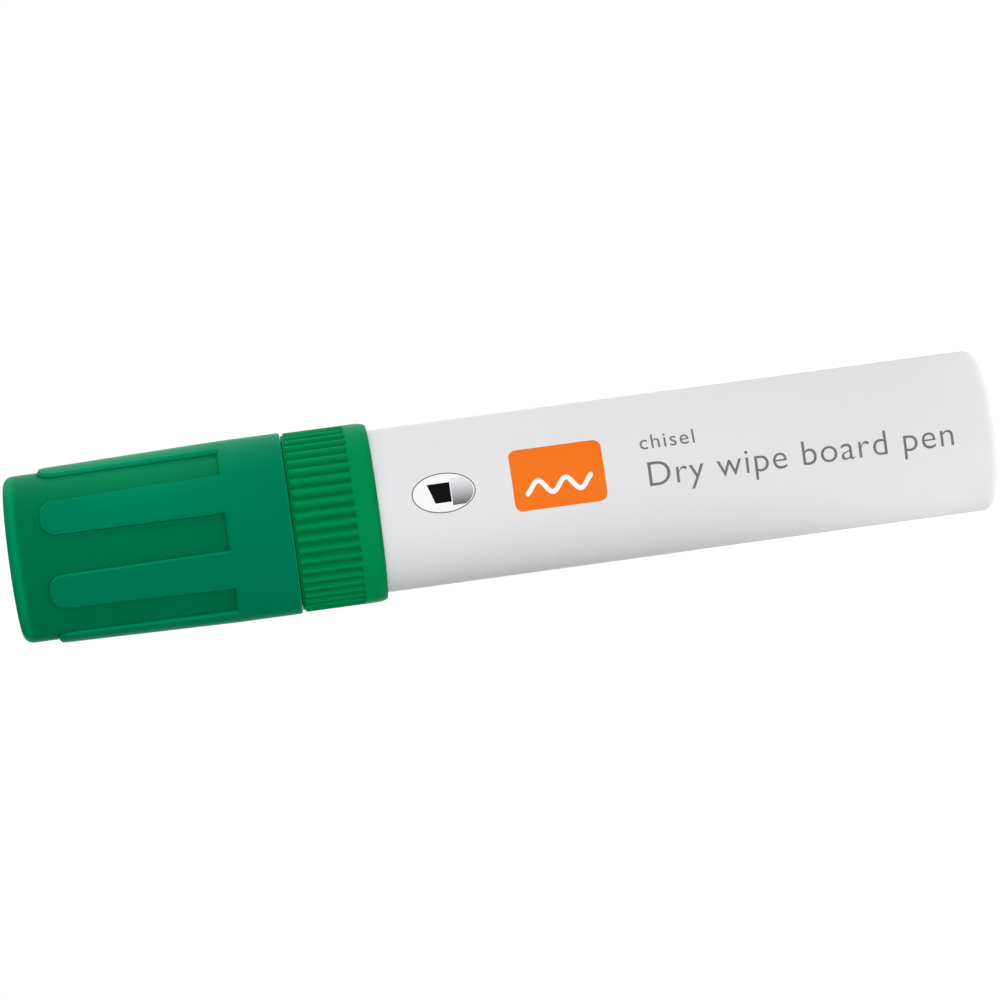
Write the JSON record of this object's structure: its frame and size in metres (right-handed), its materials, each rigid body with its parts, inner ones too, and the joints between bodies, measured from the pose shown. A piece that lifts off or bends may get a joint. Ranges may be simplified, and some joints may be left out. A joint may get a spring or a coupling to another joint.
{
  "type": "whiteboard marker",
  "caption": "Capped dry-wipe marker with a chisel nib: printed white barrel, knurled grip ring and a push-on cap with raised fingers, standing on its flat rear end.",
  "frame": {"origin": "centre of the flat rear face of the barrel, on which the marker stands", "axes": "+Z along the marker's axis from the rear face to the cap; -Y is the printed side of the barrel"},
  "size_m": [0.0232, 0.0232, 0.125],
  "materials": {
    "barrel_white": "satin moulded polypropylene",
    "grip_green": "semi-gloss moulded polypropylene",
    "holder_grey": "satin moulded polypropylene",
    "nib_felt": "pressed polyester felt soaked in ink",
    "ink_fibre": "polyester fibre soaked in ink",
    "clear_film": "clear film",
    "natural_tube": "natural polyethylene",
    "cap_green": "semi-gloss moulded polypropylene",
    "liner_natural": "natural low-density polyethylene",
    "print_orange": "screen-printed ink",
    "print_grey": "screen-printed ink",
    "print_silver": "screen-printed ink",
    "print_black": "screen-printed ink",
    "print_white": "screen-printed ink"
  },
  "bodies": {
    "marker": {"barrel": "barrel_white", "grip_section": "grip_green", "nib_holder": "holder_grey", "chisel_nib": "nib_felt", "ink_reservoir": "ink_fibre", "reservoir_film": "clear_film", "breather_tube": "natural_tube"},
    "liner": {"cap_liner": "liner_natural"},
    "cap": {"cap_shell": "cap_green"}
  },
  "joints": [
    {"name": "cap_pull", "type": "slide", "parent": "marker", "child": "liner", "axis": [0, 0, 1], "range_m": [0, 0.05]},
    {"name": "cap_turn", "type": "hinge", "parent": "liner", "child": "cap", "pos_m": [0, 0, 0.1], "axis": [0, 0, 1], "continuous": true}
  ]
}
